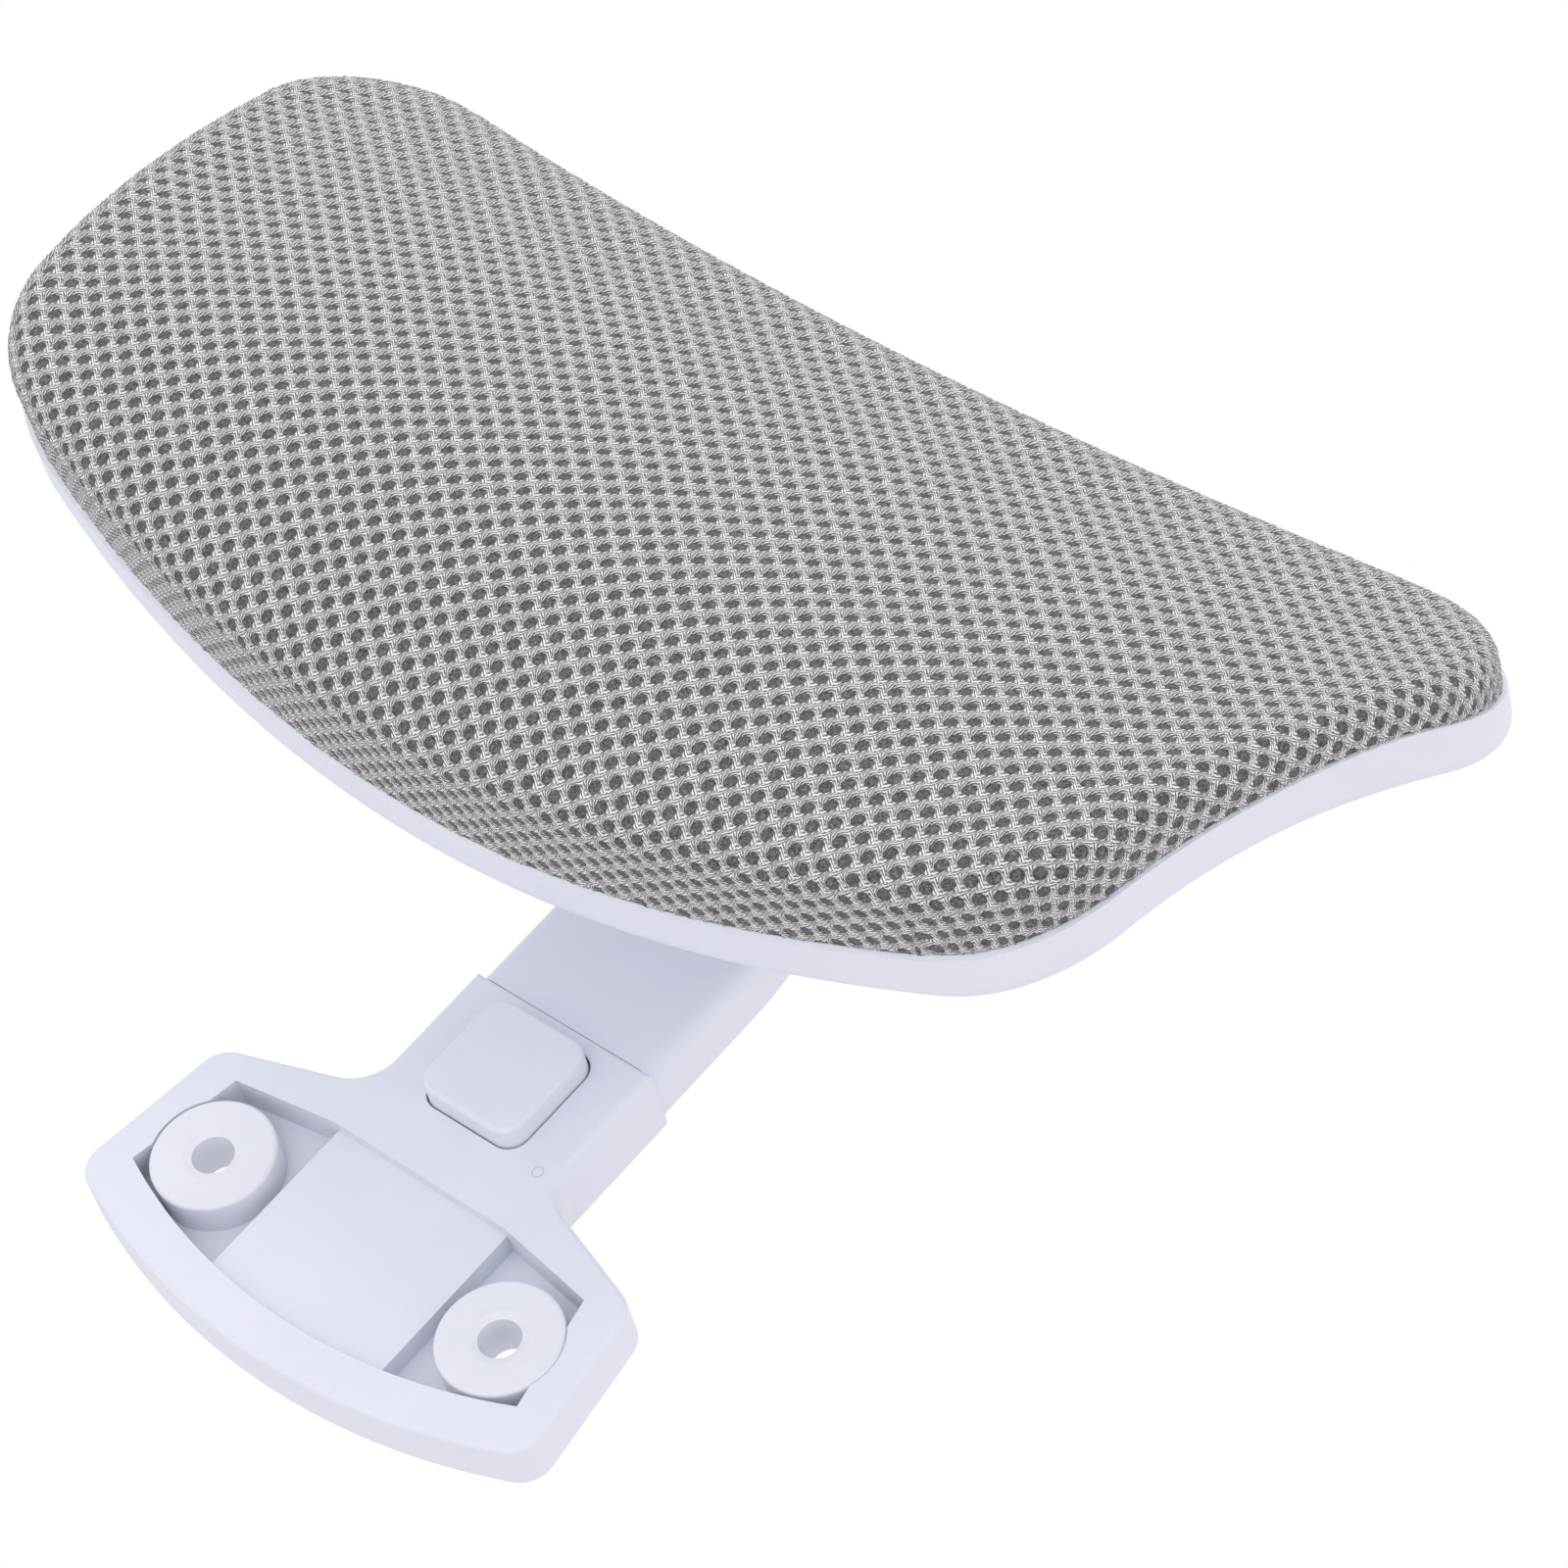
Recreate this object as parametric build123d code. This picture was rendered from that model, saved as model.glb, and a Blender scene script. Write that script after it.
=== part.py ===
"""Headrest attachment for an office chair.

Row frame, millimetres: +X to the right as one faces the pad, +Y to the back, +Z up.
The origin is midway between the two bolt holes, on the bracket's mating face.
"""
import os

from build123d import *

# ---------------------------------------------------------------- bracket
hole_spacing = 75.0            # bolt hole to bolt hole
bolt_hole_radius = 4.25        # clears an M8 bolt
plate_low_half_width = 58.8    # at the lower corners
plate_top_half_width = 54.0    # at the upper corners
plate_low_corner_z = -16.3
plate_top_corner_z = 19.0
plate_bottom_z = -28.8         # middle of the bowed lower edge
plate_shoulder_z = 29.0        # where the upper edge would meet the collar
plate_thickness = 10.5
plate_corner_radius = 6.5
plate_neck_radius = 10.0
plate_edge_round = 1.1
rim_side = 8.5
rim_low = 9.0
rim_low_corner = 7.0           # lower corner up to the pocket's corner
rim_top = 4.0                  # upper corner down to the pocket's corner
pocket_depth = 7.5             # beside the centre block
block_half_width = 22.0
block_top_z = 18.5
block_depth = 2.6              # centre block below the rim

# ---------------------------------------------------------------- collar that the arm slides in
collar_half_width = 22.5
collar_top_z = 60.0
collar_depth = 18.0            # front face to back face
rear_wall = 2.0
rear_half_width = 26.0         # rear housing behind the plate
rear_bottom_z = -26.5
rear_corner_drop = 6.5         # its lower corners below the plate's
rear_edge_round = 3.0
gate_mark_x = 19.0
gate_mark_z = 31.5
gate_mark_radius = 1.3
gate_mark_width = 0.35
gate_mark_depth = 0.2
rail_inner_x = 10.2             # rails behind the tongue
rail_outer_x = 13.0
rail_top_drop = 8.0            # rails stop this far below the button's centre
mouth_height = 10.0            # opening at the collar's top

# ---------------------------------------------------------------- screw bushes
bush_radius = 12.6
bush_front_y = 0.0             # flush with the mating face
bush_spigot_radius = 7.0
bush_flare = 1.6
bush_flare_depth = 0.45
bush_gap = 0.15
bush_edge_round = 0.8

# ---------------------------------------------------------------- arm
tongue_half_width = 14.0
tongue_front_y = 5.8
tongue_thickness = 6.0
tongue_bottom_z = -22.0
channel_foot = 2.0             # channel runs this far below the tongue
slide_gap = 0.25               # tongue to channel, each side
arm_half_width = 22.0
arm_front_y = 0.8
arm_thickness = 15.2
arm_seat_gap = 0.1             # arm shoulder above the collar at the lowest setting
arm_bend_start_z = 88.0
arm_bend_radius = 36.0         # centre line
arm_edge_round = 3.2
arm_rim = 4.5                  # beside the hollow cells
arm_rib = 2.4
arm_cells = ((64.5, 74.5), (77.0, 87.0))
arm_cell_depth = 9.0
arm_cell_corner = 1.5
arm_shoulder_back = 8.0        # full width starts this far behind the hinge lugs
arm_shoulder_run = 16.0
height_travel = 48.0
notch_pitch = 8.0              # seven stops
notch_depth = 1.8
tongue_chamfer = 0.8

# ---------------------------------------------------------------- push button and latch
button_size = 24.5
button_corner_radius = 4.5
button_z = 44.0
button_proud = 5.2
button_travel = 2.2
button_gap = 0.35
button_edge_round = 1.0
button_flange_lip = 1.6        # flange beyond the button's edge
button_pocket_lip = 2.6
latch_room = 0.4               # beside the button's tabs
flange_gap = 0.05
front_wall = 2.4
flange_thickness = 0.95
flange_half_width = 20.0
tab_half_height = 4.0
latch_strap = 1.5
latch_leg_gap = 0.6            # latch leg beside the tongue
tooth_height = 3.0
tooth_half_width = 9.5
tooth_gap = 0.25
spring_radius = 1.9
spring_wire = 0.25
spring_turns = 6
spring_end_gap = 0.02

# ---------------------------------------------------------------- tilt hinge
hinge_y = -52.0
knuckle_radius = 10.5
knuckle_half_width = 13.0
pin_radius = 4.0
running_gap = 0.05             # pin and bush, radial
hinge_bush_wall = 2.0
washer_thickness = 1.0
washer_radius = 9.0
washer_gap = 0.1
lug_thickness = 4.0
lug_radius = 9.5
hinge_base_y = -68.0           # back face of the shell's plinth
hinge_base_thickness = 3.0
hinge_base_half_width = 30.0
hinge_base_half_height = 23.0
hinge_base_corner = 5.0
lug_foot_half_height = 17.0
washer_side_gap = 0.05
pin_head_radius = 7.0
pin_head_thickness = 3.0
pin_cap_skin = 1.0
pin_end_gap = 0.2
pin_grip_gap = 0.02
pin_edge_round = 1.2
hinge_screw_x = 24.0
hinge_screw_z = 16.0
hinge_screw_bite = 8.0
plinth_lip = 3.0               # plinth beyond the hinge bracket's base
plinth_corner = 6.0
plinth_core_half_width = 17.0
plinth_core_half_height = 9.5
plinth_floor = 4.0

# ---------------------------------------------------------------- pad
pad_bottom_z = 44.5            # middle of the bowed lower edge
pad_low_bow_z = 71.5           # lower edge at the corners
pad_low_half_width = 127.5
pad_top_half_width = 155.0
pad_top_corner_z = 196.5
pad_top_middle_z = 179.7       # the upper edge dips in the middle
low_corner_radius = 36.0
top_corner_radius = 25.0
# side profiles as (y, z), lower edge to upper edge
face_profile = [(-104, 36), (-111.3, 63), (-115, 88.5), (-108.2, 118), (-97, 147), (-80, 177), (-65, 201)]
seam_profile = [(-72, 36), (-92, 58), (-100, 87), (-96.6, 122), (-87, 149), (-68.3, 178), (-51, 201)]
back_profile = [(-61, 36), (-79.5, 62), (-87.5, 90), (-83.5, 124), (-70, 153.5), (-53.5, 179), (-38, 201)]
cover_thickness = 2.5
backing_thickness = 0.8
cover_edge_radius = 6.5
seam_gap = 0.05                # cover to shell
board_thickness = 2.6
board_inset = 3.8
board_sink = 3.0               # board's front face behind the seam line
shell_wall = 2.8
shell_lip = 2.2
shell_ledge = 4.0              # how far the hollow's edge lies inside the lip
shell_edge_round = 4.0
board_screw_sink = 4.0         # head seat below the shell's back
board_screw_start = 0.6        # screw tip behind the board's front face
board_post_wall = 1.5
board_screw_x = 96.0
board_screw_low_z = 84.0
board_screw_high_z = 158.0

# ---------------------------------------------------------------- small screws
screw_radius = 1.5
screw_head_radius = 3.0
screw_head_height = 2.0
screw_head_round = 0.6
screw_cross_half = 1.8
screw_cross_width = 0.7
screw_cross_depth = 0.9
screw_hole_gap = 0.2           # clearance hole, radial
screw_head_gap = 0.35
thread_bite = 0.2              # pilot hole is this much smaller, radial
screw_tip_gap = 0.3
housing_screw_x = 18.8
housing_screw_low_z = -16.0
housing_screw_high_z = 24.5
housing_screw_bite = 5.0       # thread length in the front housing
housing_boss_wall = 0.9
stop_screw_z = -15.0
stop_screw_floor = 1.0         # tongue left in front of its pilot hole

merge = 0.5                    # overlap where two shapes become one solid
far = 200.0                    # cutters run past the part

# worked out from the sizes above
hinge_z = arm_bend_start_z + arm_bend_radius
arm_middle_y = arm_front_y + arm_thickness / 2
tongue_back_y = tongue_front_y + tongue_thickness
cavity_back_y = collar_depth - rear_wall
channel_half_width = tongue_half_width + slide_gap
leg_inner_x = channel_half_width + latch_leg_gap - slide_gap
leg_outer_x = leg_inner_x + latch_strap
flange_front_y = front_wall + flange_gap
ear_front_y = flange_front_y + flange_thickness
latch_plate_y = tongue_back_y + tooth_gap
spring_x = (leg_outer_x + flange_half_width) / 2


def block(x0, x1, y0, y1, z0, z1):
    """Axis-aligned box from its limits."""
    size = Box(x1 - x0, y1 - y0, z1 - z0)
    return Pos((x0 + x1) / 2, (y0 + y1) / 2, (z0 + z1) / 2) * size


def rod_y(x, z, radius, y0, y1):
    """Cylinder along Y."""
    return Pos(x, (y0 + y1) / 2, z) * Rot(90, 0, 0) * Cylinder(radius, y1 - y0)


def rod_x(y, z, radius, x0, x1):
    """Cylinder along X."""
    return Pos((x0 + x1) / 2, y, z) * Rot(0, 90, 0) * Cylinder(radius, x1 - x0)


def cone_y(x, z, front_radius, back_radius, y0, y1):
    """Truncated cone along Y, front_radius at y0."""
    return Pos(x, (y0 + y1) / 2, z) * Rot(-90, 0, 0) * Cone(front_radius, back_radius, y1 - y0)


def prism_y(face, y0, y1):
    """Face drawn in (x, z), made solid from y0 to y1."""
    plane = Plane(origin=(0, y1, 0), x_dir=(1, 0, 0), z_dir=(0, -1, 0))
    return extrude(plane * face, amount=y1 - y0)


def prism_x(face, x0, x1):
    """Face drawn in (y, z), made solid from x0 to x1."""
    plane = Plane(origin=(x0, 0, 0), x_dir=(0, 1, 0), z_dir=(1, 0, 0))
    return extrude(plane * face, amount=x1 - x0)


def screw_y(x, z, shank_front, head_front):
    """Pan head screw along Y: shank towards the front, head at the back."""
    shank = rod_y(x, z, screw_radius, shank_front, head_front)
    head = rod_y(x, z, screw_head_radius, head_front, head_front + screw_head_height)
    head = fillet(head.edges().sort_by(Axis.Y)[-1], screw_head_round)
    reach = screw_cross_half
    half = screw_cross_width / 2
    floor = head_front + screw_head_height - screw_cross_depth
    cross = block(x - reach, x + reach, floor, floor + 1, z - half, z + half)
    cross = cross + block(x - half, x + half, floor, floor + 1, z - reach, z + reach)
    return shank + head - cross


# ================================================================ bracket
def plate_outline():
    """T plate seen from the front, bowed below, with the neck's fillets."""
    low = ThreePointArc(
        (-plate_low_half_width, plate_low_corner_z),
        (0, plate_bottom_z),
        (plate_low_half_width, plate_low_corner_z),
    )
    rest = Polyline(
        (plate_low_half_width, plate_low_corner_z),
        (plate_top_half_width, plate_top_corner_z),
        (collar_half_width, plate_shoulder_z),
        (collar_half_width, collar_top_z),
        (-collar_half_width, collar_top_z),
        (-collar_half_width, plate_shoulder_z),
        (-plate_top_half_width, plate_top_corner_z),
        (-plate_low_half_width, plate_low_corner_z),
    )
    face = make_face(low.edges() + rest.edges())
    wide = face.vertices().filter_by(lambda v: abs(v.X) > collar_half_width + 1)
    face = fillet(wide, plate_corner_radius)
    neck = face.vertices().filter_by(lambda v: abs(v.Y - plate_shoulder_z) < 0.1)
    return fillet(neck, plate_neck_radius)


def pocket_outline():
    """Recess inside the rim, across the whole plate."""
    low_x = plate_low_half_width - rim_side
    top_x = plate_top_half_width - rim_side
    low_z = plate_low_corner_z + rim_low_corner
    low = ThreePointArc((-low_x, low_z), (0, plate_bottom_z + rim_low), (low_x, low_z))
    rest = Polyline(
        (low_x, low_z),
        (top_x, plate_top_corner_z - rim_top),
        (block_half_width, block_top_z),
        (-block_half_width, block_top_z),
        (-top_x, plate_top_corner_z - rim_top),
        (-low_x, low_z),
    )
    return make_face(low.edges() + rest.edges())


def rear_outline(inset):
    """Rear housing seen from behind."""
    half = rear_half_width - inset
    slim = collar_half_width - inset
    low_z = plate_low_corner_z - rear_corner_drop + inset
    low = ThreePointArc((-half, low_z), (0, rear_bottom_z + inset), (half, low_z))
    rest = Polyline(
        (half, low_z),
        (half, plate_top_corner_z),
        (slim, plate_shoulder_z),
        (slim, collar_top_z),
        (-slim, collar_top_z),
        (-slim, plate_shoulder_z),
        (-half, plate_top_corner_z),
        (-half, low_z),
    )
    return make_face(low.edges() + rest.edges())


def rounded_square(size, radius):
    face = Rectangle(size, size)
    return Pos(0, button_z) * fillet(face.vertices(), radius)


def mechanism_pocket(back_y):
    """Room for the latch frame and springs beside the tongue."""
    half = flange_half_width + latch_room
    high = button_size / 2 + button_pocket_lip
    return block(-half, half, front_wall, back_y, button_z - high, button_z + high)


housing_screws_at = [
    (side * housing_screw_x, z)
    for side in (-1, 1)
    for z in (housing_screw_low_z, housing_screw_high_z)
]


def make_front_housing():
    body = prism_y(plate_outline(), 0, plate_thickness)
    front = body.faces().sort_by(Axis.Y)[0]
    body = fillet(front.edges(), plate_edge_round)
    body = body - prism_y(pocket_outline(), -1, pocket_depth)
    for side in (-1, 1):
        body = body - rod_y(side * hole_spacing / 2, 0, bush_radius + bush_gap, -1, pocket_depth)
    centre = block(
        -block_half_width, block_half_width, block_depth, pocket_depth + merge, plate_bottom_z, block_top_z
    )
    centre = centre & prism_y(pocket_outline(), 0, plate_thickness)
    for side in (-1, 1):
        centre = centre - rod_y(side * hole_spacing / 2, 0, bush_radius + bush_gap, -1, pocket_depth)
    body = body + centre
    # channel for the tongue, open to the back
    channel = block(
        -channel_half_width,
        channel_half_width,
        tongue_front_y - slide_gap,
        collar_depth,
        tongue_bottom_z - channel_foot,
        collar_top_z + 1,
    )
    body = body - channel - mechanism_pocket(collar_depth)
    window = rounded_square(button_size + 2 * button_gap, button_corner_radius)
    body = body - prism_y(window, -1, collar_depth)
    for x, z in housing_screws_at:
        body = body - rod_y(x, z, screw_radius - thread_bite, plate_thickness - housing_screw_bite, far)
    for side in (-1, 1):
        hole = rod_y(side * hole_spacing / 2, 0, bush_spigot_radius + bush_gap, 0, far)
        body = body - hole
    ring = rod_y(gate_mark_x, gate_mark_z, gate_mark_radius, -1, gate_mark_depth)
    ring = ring - rod_y(gate_mark_x, gate_mark_z, gate_mark_radius - gate_mark_width, -1, 1)
    return body - ring


def make_rear_housing():
    body = prism_y(rear_outline(0), plate_thickness, collar_depth)
    back = body.faces().sort_by(Axis.Y)[-1]
    body = fillet(back.edges(), rear_edge_round)
    hollow = prism_y(rear_outline(rear_wall), plate_thickness - merge, cavity_back_y)
    body = body - hollow
    # mouth that the tongue passes through
    mouth = block(
        -channel_half_width,
        channel_half_width,
        0,
        tongue_back_y + slide_gap,
        collar_top_z - mouth_height,
        collar_top_z + 1,
    )
    body = body - mouth
    # rails that guide the back of the tongue
    for side in (-1, 1):
        x0, x1 = sorted((side * rail_inner_x, side * rail_outer_x))
        rail_y = tongue_back_y + slide_gap
        rail_top = button_z - rail_top_drop
        rail = block(x0, x1, rail_y, cavity_back_y + merge, tongue_bottom_z, rail_top)
        body = body + rail
    for x, z in housing_screws_at:
        boss = rod_y(x, z, screw_head_radius + housing_boss_wall, plate_thickness, cavity_back_y + merge)
        body = body + boss
    for x, z in housing_screws_at:
        body = body - rod_y(x, z, screw_radius + screw_hole_gap, 0, far)
        body = body - rod_y(x, z, screw_head_radius + screw_head_gap, collar_depth - screw_head_height, far)
    return body


def make_screw_bush(side):
    x = side * hole_spacing / 2
    body = rod_y(x, 0, bush_radius, bush_front_y, pocket_depth)
    body = fillet(body.edges().sort_by(Axis.Y)[0], bush_edge_round)
    body = body + rod_y(x, 0, bush_spigot_radius, pocket_depth - merge, plate_thickness)
    body = body - rod_y(x, 0, bolt_hole_radius, -far, far)
    flare = cone_y(
        x, 0, bolt_hole_radius + bush_flare, bolt_hole_radius, bush_front_y, bush_front_y + bush_flare_depth
    )
    return body - flare


def make_housing_screws():
    return [
        screw_y(x, z, plate_thickness - housing_screw_bite + screw_tip_gap, collar_depth - screw_head_height)
        for x, z in housing_screws_at
    ]


# ================================================================ button and latch
def make_push_button():
    head = prism_y(rounded_square(button_size, button_corner_radius), -button_proud, flange_front_y + merge)
    head = fillet(head.faces().sort_by(Axis.Y)[0].edges(), button_edge_round)
    high = button_size / 2 + button_flange_lip
    flange = block(-high, high, flange_front_y, ear_front_y, button_z - high, button_z + high)
    tabs = block(
        -flange_half_width,
        flange_half_width,
        flange_front_y,
        ear_front_y,
        button_z - tab_half_height,
        button_z + tab_half_height,
    )
    return head + flange + tabs


def make_latch_frame():
    z0 = button_z - tab_half_height
    z1 = button_z + tab_half_height
    back = latch_plate_y + latch_strap
    body = block(-leg_outer_x, leg_outer_x, latch_plate_y, back, z0, z1)
    for side in (-1, 1):
        x0, x1 = sorted((side * leg_inner_x, side * leg_outer_x))
        body = body + block(x0, x1, ear_front_y, back, z0, z1)
        x0, x1 = sorted((side * leg_inner_x, side * flange_half_width))
        body = body + block(x0, x1, ear_front_y, ear_front_y + latch_strap, z0, z1)
    tooth = block(
        -tooth_half_width,
        tooth_half_width,
        latch_plate_y - notch_depth,
        latch_plate_y + merge,
        button_z - tooth_height / 2,
        button_z + tooth_height / 2,
    )
    return body + tooth


def make_button_springs():
    y0 = ear_front_y + latch_strap + spring_end_gap
    y1 = cavity_back_y - spring_end_gap
    pitch = (y1 - y0 - 2 * spring_wire) / spring_turns
    helix = Helix(pitch=pitch, height=pitch * spring_turns, radius=spring_radius - spring_wire)
    section = Plane(origin=helix @ 0, z_dir=helix % 0) * Circle(spring_wire)
    coil = sweep(section, path=helix)
    coil = Rot(-90, 0, 0) * coil
    return [Pos(side * spring_x, y0 + spring_wire, button_z) * coil for side in (-1, 1)]


# ================================================================ arm
def make_arm():
    back = arm_front_y + arm_thickness
    low_z = collar_top_z + arm_seat_gap
    half = arm_half_width
    bend_y = arm_middle_y - arm_bend_radius
    outer = arm_bend_radius + arm_thickness / 2
    inner = arm_bend_radius - arm_thickness / 2
    top = arm_bend_start_z + outer
    under = arm_bend_start_z + inner
    profile = make_face(
        [
            Line((arm_front_y, low_z), (back, low_z)),
            Line((back, low_z), (back, arm_bend_start_z)),
            RadiusArc((back, arm_bend_start_z), (bend_y, top), -outer),
            Line((bend_y, top), (hinge_y, top)),
            Line((hinge_y, top), (hinge_y, under)),
            Line((hinge_y, under), (bend_y, under)),
            RadiusArc((bend_y, under), (arm_front_y, arm_bend_start_z), inner),
            Line((arm_front_y, arm_bend_start_z), (arm_front_y, low_z)),
        ]
    )
    body = prism_x(profile, -half, half)
    on_side = body.edges().filter_by(lambda e: abs(abs(e.center().X) - half) < 0.1)
    rims = on_side.filter_by(lambda e: e.center().Z > low_z + 1 and e.center().Y > hinge_y + 1)
    body = fillet(rims, arm_edge_round)
    # the head narrows so that it fits between the hinge lugs
    shoulder_y = hinge_y + lug_radius + arm_shoulder_back
    for side in (-1, 1):
        wedge = make_face(
            Polyline(
                (side * knuckle_half_width, -far),
                (side * knuckle_half_width, shoulder_y),
                (side * (half + 1), shoulder_y + arm_shoulder_run),
                (side * far, -far),
                close=True,
            )
        )
        body = body - extrude(wedge, amount=2 * far)
    body = body + rod_x(hinge_y, hinge_z, knuckle_radius, -knuckle_half_width, knuckle_half_width)
    body = body - rod_x(hinge_y, hinge_z, pin_radius + hinge_bush_wall, -far, far)
    # ribbed hollow on the back of the upright
    half_hollow = half - arm_rim
    for z0, z1 in arm_cells:
        for x0, x1 in ((-half_hollow, -arm_rib / 2), (arm_rib / 2, half_hollow)):
            cell = block(x0, x1, back - arm_cell_depth, back + 1, z0, z1)
            cell = fillet(cell.edges().filter_by(Axis.Y), arm_cell_corner)
            body = body - cell
    # tongue with latch notches on its back
    tongue = block(
        -tongue_half_width, tongue_half_width, tongue_front_y, tongue_back_y, tongue_bottom_z, low_z + merge
    )
    tongue = chamfer(tongue.faces().sort_by(Axis.Z)[0].edges(), tongue_chamfer)
    high = tooth_height / 2 + tooth_gap
    steps = round(height_travel / notch_pitch) + 1
    for step in range(steps):
        z = button_z - step * notch_pitch
        tongue = tongue - block(
            -tooth_half_width - tooth_gap,
            tooth_half_width + tooth_gap,
            tongue_back_y - notch_depth,
            tongue_back_y + 1,
            z - high,
            z + high,
        )
    pilot_y = tongue_front_y + stop_screw_floor
    tongue = tongue - rod_y(0, stop_screw_z, screw_radius - thread_bite, pilot_y, far)
    return body + tongue


def make_stop_screw():
    return screw_y(0, stop_screw_z, tongue_front_y + stop_screw_floor + screw_tip_gap, tongue_back_y)


def make_hinge_bush():
    tube = rod_x(hinge_y, hinge_z, pin_radius + hinge_bush_wall, -knuckle_half_width, knuckle_half_width)
    return tube - rod_x(hinge_y, hinge_z, pin_radius + running_gap, -far, far)


# ================================================================ hinge on the pad
lug_inner_x = knuckle_half_width + washer_thickness + 2 * washer_gap
lug_outer_x = lug_inner_x + lug_thickness


def make_hinge_bracket():
    back = hinge_base_y + hinge_base_thickness
    base = block(
        -hinge_base_half_width,
        hinge_base_half_width,
        hinge_base_y,
        back,
        hinge_z - hinge_base_half_height,
        hinge_z + hinge_base_half_height,
    )
    body = fillet(base.edges().filter_by(Axis.Y), hinge_base_corner)
    for side in (-1, 1):
        x0, x1 = sorted((side * lug_inner_x, side * lug_outer_x))
        lug = rod_x(hinge_y, hinge_z, lug_radius, x0, x1)
        lug = lug + block(x0, x1, back - merge, hinge_y, hinge_z - lug_radius, hinge_z + lug_radius)
        foot = make_face(
            Polyline(
                (back - merge, hinge_z - lug_foot_half_height),
                (back - merge, hinge_z + lug_foot_half_height),
                (hinge_y, hinge_z + lug_radius - 1),
                (hinge_y, hinge_z - lug_radius + 1),
                close=True,
            )
        )
        body = body + lug + prism_x(foot, x0, x1)
    body = body - rod_x(hinge_y, hinge_z, pin_radius + running_gap, -far, far)
    for x in (-hinge_screw_x, hinge_screw_x):
        for z in (-hinge_screw_z, hinge_screw_z):
            body = body - rod_y(x, hinge_z + z, screw_radius + screw_hole_gap, -far, far)
    return body


def make_hinge_screws():
    back = hinge_base_y + hinge_base_thickness
    return [
        screw_y(x, hinge_z + z, hinge_base_y - hinge_screw_bite, back)
        for x in (-hinge_screw_x, hinge_screw_x)
        for z in (-hinge_screw_z, hinge_screw_z)
    ]


def make_friction_washers():
    washers = []
    for side in (-1, 1):
        near = knuckle_half_width + washer_gap
        x0, x1 = sorted((side * near, side * (near + washer_thickness)))
        ring = rod_x(hinge_y, hinge_z, washer_radius, x0, x1)
        washers.append(ring - rod_x(hinge_y, hinge_z, pin_radius + running_gap, -far, far))
    return washers


def make_hinge_pin():
    reach = lug_outer_x + washer_thickness + pin_head_thickness - pin_cap_skin - pin_end_gap
    head_x = lug_outer_x + washer_side_gap
    pin = rod_x(hinge_y, hinge_z, pin_radius, -reach, head_x + merge)
    head = rod_x(hinge_y, hinge_z, pin_head_radius, head_x, head_x + pin_head_thickness)
    head = fillet(head.edges().sort_by(Axis.X)[-1], pin_edge_round)
    return pin + head


def make_spring_washer():
    x0 = -lug_outer_x - washer_side_gap - washer_thickness
    ring = rod_x(hinge_y, hinge_z, pin_head_radius, x0, x0 + washer_thickness)
    return ring - rod_x(hinge_y, hinge_z, pin_radius + running_gap, -far, far)


def make_pin_cap():
    inner = -lug_outer_x - 2 * washer_side_gap - washer_thickness
    cap = rod_x(hinge_y, hinge_z, pin_head_radius, inner - pin_head_thickness, inner)
    cap = fillet(cap.edges().sort_by(Axis.X)[0], pin_edge_round)
    blind = rod_x(hinge_y, hinge_z, pin_radius + pin_grip_gap, inner - pin_head_thickness + pin_cap_skin, 0)
    return cap - blind


# ================================================================ pad
def pad_outline(inset):
    """Pad seen from the front, drawn in (x, z)."""
    low = ThreePointArc(
        (-pad_low_half_width, pad_low_bow_z), (0, pad_bottom_z), (pad_low_half_width, pad_low_bow_z)
    )
    right = Line((pad_low_half_width, pad_low_bow_z), (pad_top_half_width, pad_top_corner_z))
    top = ThreePointArc(
        (pad_top_half_width, pad_top_corner_z), (0, pad_top_middle_z), (-pad_top_half_width, pad_top_corner_z)
    )
    left = Line((-pad_top_half_width, pad_top_corner_z), (-pad_low_half_width, pad_low_bow_z))
    face = make_face([low, right, top, left])
    face = fillet(face.vertices().group_by(Axis.Y)[0], low_corner_radius)
    face = fillet(face.vertices().filter_by(lambda v: v.Y > pad_top_corner_z - 0.1), top_corner_radius)
    if inset:
        face = offset(face, amount=-inset)
    return face


def shifted(profile, back_by):
    return [(y + back_by, z) for y, z in profile]


def slab(front, back, inset):
    """Solid between two side profiles, cut to the pad's outline."""
    front_edge = Spline(*front)
    back_edge = Spline(*back)
    side = make_face(
        [front_edge, Line(front[-1], back[-1]), back_edge, Line(back[0], front[0])]
    )
    whole = prism_x(side, -far, far)
    return whole & prism_y(pad_outline(inset), -far, far)


def cushion_form(inset, sink):
    """Rounded cushion form: face pushed back by sink, sides in by inset."""
    body = slab(shifted(face_profile, sink), shifted(seam_profile, -seam_gap), inset)
    front = body.faces().sort_by(Axis.Y)[0]
    return fillet(front.edges(), cover_edge_radius - inset)


def make_mesh_cover(inner):
    return cushion_form(0, 0) - inner


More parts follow.
